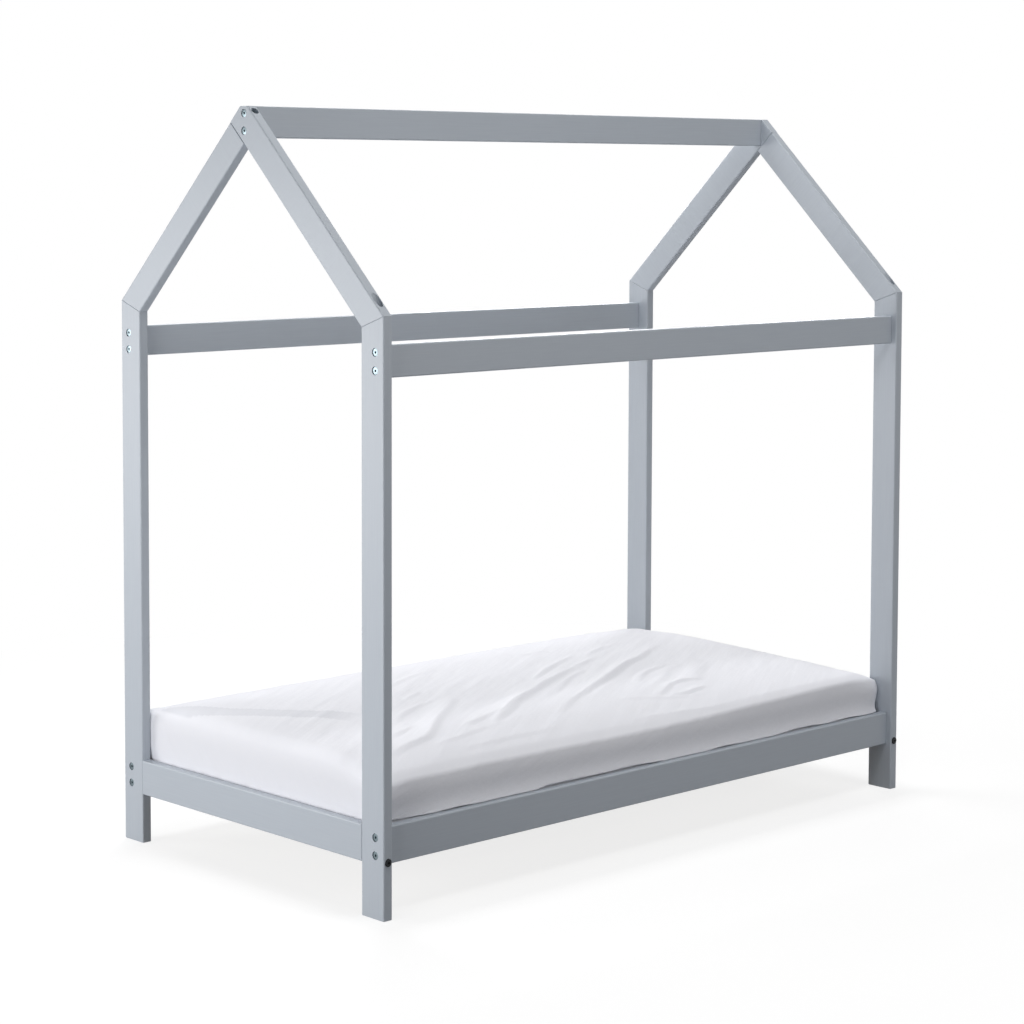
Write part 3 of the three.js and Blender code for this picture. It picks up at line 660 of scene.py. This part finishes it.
start = read_points(core.data)
crown = (1 - (start[:, 0] / half_x) ** 2) * (1 - (start[:, 1] / half_y) ** 2)
crown = np.clip(crown, 0, 1) * (start[:, 2] > foot + HEIGHT / 2)
cap = SWELL_SIDE + CROWN * crown
swell = core.modifiers.new("swell", "CLOTH")
swell.settings.use_pressure = True
swell.settings.uniform_pressure_force = SWELL_PRESSURE
swell.settings.effector_weights.gravity = 0
for step in range(1, SWELL_FRAMES + 1):
    bpy.context.scene.frame_set(step)
swollen = read_points(core.evaluated_get(bpy.context.evaluated_depsgraph_get()).data)
core.modifiers.clear()
bpy.context.scene.frame_set(1)
moved = swollen - start
distance = np.linalg.norm(moved, axis=1)
moved *= (np.minimum(distance, cap) / np.maximum(distance, TINY))[:, None]
swollen = slumped(start + moved)
swollen[:, 2] = np.maximum(swollen[:, 2], foot)
write_points(core.data, swollen)
rounder = core.modifiers.new("rounder", "SUBSURF")
rounder.levels = rounder.render_levels = 1
bpy.ops.object.modifier_apply(modifier="rounder")
bpy.ops.object.shade_smooth()
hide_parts("mattress")
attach(core, "bedding")
print("mattress faces:", len(core.data.polygons), "largest swelling mm:", round(distance.max() / MM, 1))


# %% [markdown]
# ## Cover of the mattress
#
# The cover is a plain woven ticking, off-white and quite matt. The sheet hides it, so two crossed waves are
# weave enough. Real ticking threads are near 0.5 mm. They are drawn coarser here, at 2.9 mm, because finer
# ones would vanish at this distance.

# %% Woven ticking
TICKING_REPEAT = 2.856 * MM
ticking, tree = new_material("woven_mattress_ticking")
place = add(tree, "ShaderNodeTexCoord").outputs["Object"]
warp = add(tree, "ShaderNodeTexWave", {"Vector": place, "Scale": WAVE_REPEAT / TICKING_REPEAT}, bands_direction="X")
weft = add(tree, "ShaderNodeTexWave", {"Vector": place, "Scale": WAVE_REPEAT / TICKING_REPEAT}, bands_direction="Y")
woven = add(tree, "ShaderNodeMath", {0: warp.outputs["Fac"], 1: weft.outputs["Fac"]}, operation="MULTIPLY")
tone = add(tree, "ShaderNodeValToRGB", {0: woven.outputs[0]})
ramp_colours(tone, colour("#dcdcd8"), colour("#efefec"))
relief = add(tree, "ShaderNodeBump", {"Height": woven.outputs[0], "Strength": 0.5, "Distance": 0.3 * MM})
finish_material(tree, add(tree, "ShaderNodeBsdfPrincipled", {
    "Base Color": tone.outputs[0], "Roughness": 0.9, "Normal": relief.outputs[0]}))
use_material(core, ticking)
print("ticking repeats every", round(TICKING_REPEAT / MM, 1), "mm")


# %% [markdown]
# ## Fitted sheet
#
# The sheet is one cloth: a top panel, four sides that go down over the mattress, and a hem with elastic that
# pulls it in underneath. It starts as a flat grid with its border extruded row by row, so that the threads
# stay even. Then every row is laid over the rounded mattress. Some corners stay squarer than the foam under
# them, where the sheet stands off in a pocket.

# %% Sheet form
SHEET_COLUMNS, SHEET_ROWS = 250, 126
SKIN = 1.7 * MM
CLOTH = 1.2 * MM
TURN_IN = 60 * MM
ROW = 8 * MM
LIP_ROWS = [10.0, 7.5, 5.5, 4.0, 2.6, 1.4, 0.4]  # mm above the rail's top edge, close where it tucks in
RAIL_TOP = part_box("side_rail_front")[1][2]
POCKETS = [(-1, 1, 0.85, 7.6), (1, -1, 0.3, 8.5), (-1, -1, 0.5, 4.5)]  # corner, share of square, bulge in mm
EDGE_SQUARE, END_SQUARE, EDGE_REACH, EDGE_END = 0.38, 0.1, 60 * MM, 80 * MM
POCKET_REACH, POCKET_HEIGHT = 60 * MM, 110 * MM
END_ROOM = HALF_LENGTH + 4.7 * MM


def rim_angles(radius):
    count = max(2, round(radius * math.pi / 4 / ROW))
    return [math.pi / 4 * i / count for i in range(1, count + 1)]


def side_rows():
    """Height above the foot and distance in from the edge, for each row below the top panel."""
    rows = [(HEIGHT - TOP_ROUND + TOP_ROUND * math.tan(math.pi / 4 - a), 0.0) for a in rim_angles(TOP_ROUND)]
    lip = RAIL_TOP - foot
    straight = HEIGHT - TOP_ROUND - lip - LIP_ROWS[0] * MM
    count = round(straight / ROW)
    rows += [(HEIGHT - TOP_ROUND - straight * i / count, 0.0) for i in range(1, count)]
    rows += [(lip + height * MM, 0.0) for height in LIP_ROWS] + [(FOOT_ROUND, 0.0)]
    rows += [(FOOT_ROUND - FOOT_ROUND * math.tan(a), 0.0) for a in rim_angles(FOOT_ROUND)]
    rows += [(0.0, CORNER - CORNER * math.tan(math.pi / 4 - a)) for a in rim_angles(CORNER)]
    return rows + [(0.0, TURN_IN)]


def spread(share, half):
    """Turns an even position from -1 to 1 into a place on the box whose rounding is walked at an even pace."""
    total = half - CORNER + CORNER * math.pi / 4
    walked = np.abs(share) * total
    angle = np.clip((walked - (half - CORNER)) / CORNER, 0, math.pi / 4)
    return np.sign(share) * (np.minimum(walked, half - CORNER) + CORNER * np.tan(angle))


bpy.ops.object.select_all(action="DESELECT")
bpy.ops.mesh.primitive_grid_add(x_subdivisions=SHEET_COLUMNS, y_subdivisions=SHEET_ROWS, size=2)
sheet = bpy.context.object
sheet.name = "cotton_fitted_sheet"
rows = side_rows()
bpy.ops.object.mode_set(mode="EDIT")
pick(sheet, "EDGE", lambda p: abs(p.x) > 1 - TINY or abs(p.y) > 1 - TINY)
for row in rows:
    bpy.ops.mesh.extrude_region_move(TRANSFORM_OT_translate={"value": (0, 0, -1)})
bpy.ops.object.mode_set(mode="OBJECT")
print("rows below the border:", len(rows))


# %% The rows laid over the mattress
flat = read_points(sheet.data)
level = np.round(-flat[:, 2]).astype(int)
row_height = np.array([HEIGHT] + [r[0] for r in rows])[level]
row_inset = np.array([0.0] + [r[1] for r in rows])[level]
box_x = spread(flat[:, 0], HALF_LENGTH) * (1 - row_inset / HALF_LENGTH)
box_y = spread(flat[:, 1], HALF_WIDTH) * (1 - row_inset / HALF_WIDTH)
box_z = row_height

inner_x = np.clip(box_x, CORNER - HALF_LENGTH, HALF_LENGTH - CORNER)
inner_y = np.clip(box_y, CORNER - HALF_WIDTH, HALF_WIDTH - CORNER)
inner_z = np.clip(box_z, FOOT_ROUND, HEIGHT - TOP_ROUND)
round_z = np.where(box_z > inner_z, TOP_ROUND, FOOT_ROUND)
way = np.stack([(box_x - inner_x) / CORNER, (box_y - inner_y) / CORNER, (box_z - inner_z) / round_z], axis=1)
way /= np.linalg.norm(way, axis=1)[:, None]
up = np.clip((inner_z + way[:, 2] * round_z) / HEIGHT, 0, 1)
across_x, across_y = 1 - (box_x / HALF_LENGTH) ** 2, 1 - (box_y / HALF_WIDTH) ** 2
belly = BELLY * np.sin(math.pi * up) + SKIN
laid = np.stack([inner_x + way[:, 0] * (CORNER + belly),
                 inner_y + way[:, 1] * (CORNER + belly - SIDE_DRAW * across_x),
                 foot + inner_z + way[:, 2] * (round_z + SKIN) + CROWN * across_x * across_y * up * up], axis=1)
boxed = np.stack([box_x, box_y, foot + box_z], axis=1)
square = EDGE_SQUARE * np.exp(-((box_y + HALF_WIDTH) / EDGE_REACH) ** 2) * ease((HALF_LENGTH - box_x) / EDGE_END)
for corner_x, corner_y, share, swell in POCKETS:
    apart = (box_x - corner_x * HALF_LENGTH) ** 2 + (box_y - corner_y * HALF_WIDTH) ** 2
    square = np.maximum(square, share * np.exp(-apart / POCKET_REACH ** 2))
square = np.maximum(square, END_SQUARE * np.exp(-((box_x + HALF_LENGTH) / EDGE_REACH) ** 2))
laid += (boxed - laid) * (square * (box_z > FOOT_ROUND))[:, None]
laid = slumped(laid)
print("points of the sheet:", len(laid))


# %% [markdown]
# ## Folds of the sheet
#
# The cloth has been dragged towards one corner, so its folds run slantwise over the top and are nearly
# parallel. Each one is soft on its far side and drops sharply on the side that faces the front, where it
# throws a thin shadow. They are drawn as lines on the top, as seen from above. A cloth simulation makes
# folds too, but not these folds in these places.
#
# One flat pleat runs slantwise from the near back corner, smoothed down by hand. An attribute marks a strip beside
# its crest, and the cotton is coloured a shade greyer there: painted shade along the pleat, not a colour of the
# cloth.

# %% Lines of the folds
# places along the crest, then its height, the reach of its soft side and of its steep side, all in mm
FOLDS = [
    ([(511, 118), (393, 49), (313, 12), (237, -29), (149, -77), (65, -122), (-12, -160), (-81, -199),
      (-139, -229)], 7.0, 24, 10),
    ([(180, 52), (72, -8), (-10, -51), (-102, -98), (-167, -134), (-222, -168), (-285, -207)], 6.0, 22, 9),
    ([(-50, -82), (-134, -124), (-197, -165), (-252, -197), (-300, -222)], 5.2, 16, 9),
    ([(275, 146), (177, 96), (108, 59), (25, 12)], 3.4, 12, 7),
    ([(190, 23), (104, -23), (51, -58), (-24, -105)], 3.2, 12, 7),
    ([(-219, -25), (-249, -48), (-316, -100), (-373, -147), (-423, -187), (-469, -223), (-502, -234),
      (-537, -245), (-607, -266)], 6.1, 22, 11),
    ([(-270, -10), (-326, -32), (-391, -67), (-451, -114)], 3.8, 14, 8),
    ([(-229, 67), (-307, 29)], 2.8, 10, 7),
    ([(-437, -148), (-537, -198)], 2.8, 12, 7),
    ([(328, -185), (252, -180), (200, -204), (141, -233)], 4.2, 14, 8),
    ([(289, -229), (216, -245), (170, -239)], 3.6, 12, 7),
    ([(398, -63), (321, -93), (232, -151), (139, -204)], 2.5, 12, 14),
    ([(377, -48), (291, -70), (248, -90), (181, -138)], 3.4, 12, 7),
    ([(473, -50), (444, -73), (349, -146), (273, -210)], 3.4, 22, 26),
    ([(275, -326), (142, -318), (82, -314), (-55, -305)], 1.1, 9, 6),
    ([(277, -264), (165, -254), (96, -230), (7, -205)], 1.3, 14, 8),
    ([(-223, -160), (-303, -190), (-368, -209)], 2.4, 12, 7),
    ([(-255, -223), (-350, -236), (-425, -250), (-505, -263)], 1.4, 14, 7),
    ([(-174, -284), (-286, -287), (-369, -291), (-464, -290)], 1.1, 14, 7),
    ([(462, 182), (382, 162), (286, 123)], 2.2, 14, 8),
    ([(307, 98), (242, 77), (182, 55)], 2.2, 12, 8),
    ([(267, 204), (153, 231)], 2.0, 14, 8),
    ([(-45, 216), (-165, 190), (-306, 110)], 1.9, 16, 9),
]
LINE_STEPS = 30
CREST_POWER, END_TAPER = 1.5, 0.65
VALLEY_SHARE, VALLEY_PLACE, VALLEY_SPREAD = 0.3, 1.5, 0.7
PLEAT_LINE = [(-749, 279), (-723, 264), (-688, 243), (-650, 175), (-606, 115), (-560, 57), (-526, 12),
              (-496, -54)]
PLEAT_HEIGHT, PLEAT_SOFT, PLEAT_STEEP = 2.0, 110, 95
# width of the strip of painted shade along the pleat
PLEAT_SHADE_WIDTH = 66 * MM
TOP_LOOKS_UP = 0.85  # the pleat ends where the cloth turns down at the rim
print("folds:", len(FOLDS), "highest mm:", max(fold[1] for fold in FOLDS))


# %% Height of a fold
def curve_through(stops):
    """A smooth line through the stops, by Catmull and Rom's rule."""
    stops = np.array(stops, dtype=float)
    ends = np.vstack([2 * stops[0] - stops[1], stops, 2 * stops[-1] - stops[-2]])
    places = np.linspace(0, len(stops) - 1, LINE_STEPS)
    first = np.minimum(places.astype(int), len(stops) - 2)
    t = (places - first)[:, None]
    a, b, c, d = (ends[first + i] for i in range(4))
    return 0.5 * (2 * b + (c - a) * t + (2 * a - 5 * b + 4 * c - d) * t ** 2 + (3 * b - a - 3 * c + d) * t ** 3)


def across_line(places, stops):
    """How far each place lies beside the line, in m, and at which share of the line's length."""
    line = curve_through(stops) * MM
    lengths = np.linalg.norm(np.diff(line, axis=0), axis=1)
    walked = np.concatenate([[0], np.cumsum(lengths)])
    nearest = np.full(len(places), np.inf)
    side, share = np.zeros(len(places)), np.zeros(len(places))
    for i in range(len(line) - 1):
        run = line[i + 1] - line[i]
        offset = places - line[i]
        t = np.clip(offset @ run / (run @ run), 0, 1)
        gap = offset - t[:, None] * run
        distance = np.linalg.norm(gap, axis=1)
        closer = distance < nearest
        nearest = np.where(closer, distance, nearest)
        side = np.where(closer, np.sign(run[0] * offset[:, 1] - run[1] * offset[:, 0]), side)
        share = np.where(closer, (walked[i] + t * lengths[i]) / walked[-1], share)
    return nearest * side, share


def fold_height(places, stops, height, soft, steep):
    """A crest with a soft side, a steep side and a shallow valley at its foot, dying out at both ends."""
    across, share = across_line(places, stops)
    rise = np.exp(-np.abs(across / (soft * MM)) ** CREST_POWER)
    drop = 1 - ease(across / (steep * MM))
    ridge = np.where(across < 0, rise, drop)
    valley = VALLEY_SHARE * np.exp(-((across / (steep * MM) - VALLEY_PLACE) / VALLEY_SPREAD) ** 2)
    return height * MM * (ridge - valley) * np.sin(math.pi * np.clip(share, 0.001, 0.999)) ** END_TAPER


def pleat_height(places):
    """The pleat stands up as a low crest with a flat slope behind it."""
    across, share = across_line(places, PLEAT_LINE)
    before = np.exp(-np.abs(across / (PLEAT_SOFT * MM)) ** CREST_POWER)
    behind = 1 - np.clip(across / (PLEAT_STEEP * MM), 0, 1)
    return PLEAT_HEIGHT * MM * np.where(across < 0, before, behind) * ease(4 * (1 - share))


def ripple(x, y, scale_x, scale_y, seed):
    """Smooth noise between about -1 and 1, its waves as long and as wide as the scales."""
    return np.array([noise.noise((a / scale_x, b / scale_y, seed)) for a, b in zip(x, y)])


# %% Folds and ripples on the top
DRAG = math.radians(32)
FOLDED_ROWS = 14
WANDER, WANDER_LENGTH = 5 * MM, 120 * MM
BUSY_LENGTH, BUSY_WIDTH, CALM = 500 * MM, 240 * MM, 0.35
RIPPLES = [(2.2, 0.19, 0.035, 1.1), (1.1, 0.10, 0.018, 5.3)]  # height in mm, length and width in m, seed
LIFTED = 0.5 * MM
top_share = np.clip(way[:, 2], 0, 1) * (level < FOLDED_ROWS)
along = laid[:, 0] * math.cos(DRAG) + laid[:, 1] * math.sin(DRAG)
over = laid[:, 1] * math.cos(DRAG) - laid[:, 0] * math.sin(DRAG)
wander = ripple(laid[:, 0], laid[:, 1], WANDER_LENGTH, WANDER_LENGTH, 3.7)
places = laid[:, :2] + WANDER * wander[:, None] * np.array([-math.sin(DRAG), math.cos(DRAG)])
folds = sum(fold_height(places, *fold) for fold in FOLDS) + pleat_height(laid[:, :2])
busy = np.exp(-(laid[:, 0] / BUSY_LENGTH) ** 2 - (laid[:, 1] / BUSY_WIDTH) ** 2)
fine = sum(height * ripple(along, over, length, width, seed) for height, length, width, seed in RIPPLES)
lift = folds + MM * (CALM + busy) * fine + LIFTED
laid[:, 2] += np.maximum(lift, 0) * top_share
pleat_across, pleat_share = across_line(laid[:, :2], PLEAT_LINE)
# painted shade: the strip beside the pleat's crest is marked here, to be coloured greyer than the rest of the sheet
pleat_shade_strip = (pleat_across > 0) & (pleat_across < PLEAT_SHADE_WIDTH) & (way[:, 2] > TOP_LOOKS_UP)
pleat = (pleat_shade_strip * ease(6 * (1 - pleat_share))).astype(np.float32)
sheet.data.attributes.new("pleat", "FLOAT", "POINT").data.foreach_set("value", pleat)
print("highest fold mm:", round(float(folds.max() / MM), 1))


# %% [markdown]
# ## Sides of the sheet
#
# The sides hang from the rounded border. Above the long rails the loose cloth swells out a little over the
# rail's top edge and then tucks in behind it. The dark line between cloth and rail is a gap that opens and
# closes along the side. Small gathers come up from the elastic. Each is a push along the cloth's own outward
# direction, which keeps the sheet clear of the foam.

# %% Sides of the sheet
SWAG, SWAG_RISE = 15 * MM, 13 * MM
SWAG_LEAST, SWAG_STARTS, SWAG_GROWS = 0.25, -660 * MM, 130 * MM  # the swag is small by the left posts
LIP_CLOSED, LIP_OPENS = 0.7, 3
GAP_CLOSED, GAP_OPENS, GAP_LENGTH = 0.2 * MM, 0.9 * MM, 160 * MM
HANG, HANG_LENGTH, HANG_HEIGHT = 1.4 * MM, 75 * MM, 160 * MM
HANG_TOP, HANG_FADES = 250 * MM, 80 * MM
GATHER, GATHER_WIDTH, GATHER_HEIGHT, GATHER_TOP = 1.0 * MM, 16 * MM, 90 * MM, 30 * MM
DEEPEST = -0.3 * MM
outward = way[:, :2]
on_side = np.linalg.norm(outward, axis=1) > 0.3
long_side = ease((np.abs(way[:, 1]) - 0.4) / 0.5)
# one place along the sides: x on the long ones, y on the ends, which start 3 m on for ripples of their own
round_trip = np.where(np.abs(way[:, 1]) > np.abs(way[:, 0]), laid[:, 0], laid[:, 1] + 3.0)
open_share = ease(0.35 + 1.6 * ripple(round_trip, round_trip, GAP_LENGTH, GAP_LENGTH, 8.8))
tuck = RAIL_TOP + GAP_CLOSED + GAP_OPENS * open_share
above = laid[:, 2] - tuck
swag_share = SWAG_LEAST + (1 - SWAG_LEAST) * ease((laid[:, 0] - SWAG_STARTS) / SWAG_GROWS)
bulge = SWAG * np.exp(-np.maximum(above, 0) / SWAG_RISE) * swag_share
shape = bulge * long_side * np.clip(above / (MM * (LIP_CLOSED + LIP_OPENS * open_share)), 0, 1) ** 0.5
low = np.clip((HANG_TOP - laid[:, 2]) / HANG_FADES, 0, 1) * long_side
hang = HANG * ripple(round_trip, laid[:, 2], HANG_LENGTH, HANG_HEIGHT, 2.2) * low
gather = GATHER * ripple(round_trip, laid[:, 2], GATHER_WIDTH, GATHER_HEIGHT, 6.4) * (laid[:, 2] < foot + GATHER_TOP)
push = np.where(above > 0, shape + np.maximum(hang, DEEPEST), np.maximum(gather, DEEPEST))
laid[:, :2] += outward * (push * on_side)[:, None]
for corner_x, corner_y, share, swell in POCKETS:
    apart = (box_x - corner_x * HALF_LENGTH) ** 2 + (box_y - corner_y * HALF_WIDTH) ** 2
    upright = np.sin(math.pi * np.clip((laid[:, 2] - RAIL_TOP) / POCKET_HEIGHT, 0, 1))
    near = np.exp(-apart / POCKET_REACH ** 2) * upright
    laid[:, :2] += near[:, None] * swell * MM * np.array([corner_x, corner_y])
laid[:, 0] = np.clip(laid[:, 0], -END_ROOM, END_ROOM)
write_points(sheet.data, laid)
print("farthest push outward mm:", round(float(push.max() / MM), 1))


# %% [markdown]
# ## Threads and thickness
#
# A map of the cloth laid flat gives every point its place among the threads, so that the weave runs straight
# over the top and on down the sides. Then the sheet gets its thickness, inwards. Real cotton is near 0.3 mm
# thick. It is drawn at 1.2 mm, so that the sheet is a solid with two clear sides at this distance.

# %% Threads and thickness
weave_map = sheet.data.uv_layers.new(name="weave")
skirt = np.where(level > 0, level * ROW, 0)
reach_out = np.stack([np.where(np.abs(flat[:, 0]) > 1 - TINY, np.sign(flat[:, 0]), 0),
                      np.where(np.abs(flat[:, 1]) > 1 - TINY, np.sign(flat[:, 1]), 0)], axis=1)
thread = flat[:, :2] * np.array([HALF_LENGTH, HALF_WIDTH]) + reach_out * skirt[:, None]
corners = np.empty(len(sheet.data.loops), dtype=int)
sheet.data.loops.foreach_get("vertex_index", corners)
weave_map.data.foreach_set("uv", thread[corners].ravel())
thickness = sheet.modifiers.new("cloth_thickness", "SOLIDIFY")
thickness.thickness = CLOTH
thickness.offset = -1
only(sheet)
bpy.ops.object.modifier_apply(modifier="cloth_thickness")
bpy.ops.object.shade_smooth()
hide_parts("fitted_sheet")
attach(sheet, "bedding")


# %% [markdown]
# ## Cotton of the sheet
#
# Washed percale is matt, with a trace of sheen where its fibres catch grazing light. Three things show on it:
# the weave, small creases from lying folded, and long streaks in the direction in which it was dragged. All
# of them are bumps on the flat map, which costs no faces. A percale thread is near 0.25 mm. The weave is drawn
# coarser, at 1.8 mm, because a finer one would vanish at this distance.

# %% Cotton percale
# the third colour is painted shade, for the marked strip along the pleat
SHEET_WHITE, CREASE_WHITE, PLEAT_PAINTED_SHADE = colour("#f0f0f5"), colour("#eeeff5"), colour("#e3e4ea")
WEAVE_REPEAT = 1.824 * MM
CREASE = 14 * MM
STREAK_LENGTH, STREAK_WIDTH = 170 * MM, 20 * MM
cotton, tree = new_material("cotton_percale_sheet")
uv = add(tree, "ShaderNodeUVMap", uv_map="weave").outputs[0]
warp = add(tree, "ShaderNodeTexWave", {"Vector": uv, "Scale": WAVE_REPEAT / WEAVE_REPEAT}, bands_direction="X")
weft = add(tree, "ShaderNodeTexWave", {"Vector": uv, "Scale": WAVE_REPEAT / WEAVE_REPEAT}, bands_direction="Y")
woven = add(tree, "ShaderNodeMath", {0: warp.outputs["Fac"], 1: weft.outputs["Fac"]}, operation="MULTIPLY")
creases = add(tree, "ShaderNodeTexNoise", {"Vector": uv, "Scale": 1 / CREASE, "Detail": 4.0, "Roughness": 0.55})
soft = add(tree, "ShaderNodeBump", {"Height": creases.outputs["Fac"], "Strength": 0.35, "Distance": 1.2 * MM})
drawn = add(tree, "ShaderNodeMapping", {"Vector": uv, "Rotation": (0, 0, -DRAG)})
streak_scale = (1 / STREAK_LENGTH, 1 / STREAK_WIDTH, 1)
drawn = add(tree, "ShaderNodeMapping", {"Vector": drawn.outputs[0], "Scale": streak_scale})
streaks = add(tree, "ShaderNodeTexNoise", {"Vector": drawn.outputs[0], "Scale": 1.0, "Detail": 2.0})
soft = add(tree, "ShaderNodeBump", {"Height": streaks.outputs["Fac"], "Strength": 0.5, "Distance": 2.8 * MM,
                                    "Normal": soft.outputs[0]})
relief = add(tree, "ShaderNodeBump", {"Height": woven.outputs[0], "Strength": 0.2, "Distance": 0.12 * MM,
                                      "Normal": soft.outputs[0]})
tone = add(tree, "ShaderNodeMix", {0: creases.outputs["Fac"], 6: SHEET_WHITE, 7: CREASE_WHITE}, data_type="RGBA")
# painted shade: the cotton's white is mixed towards a greyer one on the marked strip along the pleat
pleat_shade_mask = add(tree, "ShaderNodeAttribute", attribute_name="pleat")
tone = add(tree, "ShaderNodeMix", {0: pleat_shade_mask.outputs["Fac"], 6: tone.outputs[2], 7: PLEAT_PAINTED_SHADE}, data_type="RGBA")
finish_material(tree, add(tree, "ShaderNodeBsdfPrincipled", {
    "Base Color": tone.outputs[2], "Roughness": 0.85, "Sheen Weight": 0.08, "Normal": relief.outputs[0]}))
use_material(sheet, cotton)
print("weave repeats every", round(WEAVE_REPEAT / MM, 1), "mm, creases", round(CREASE / MM), "mm")
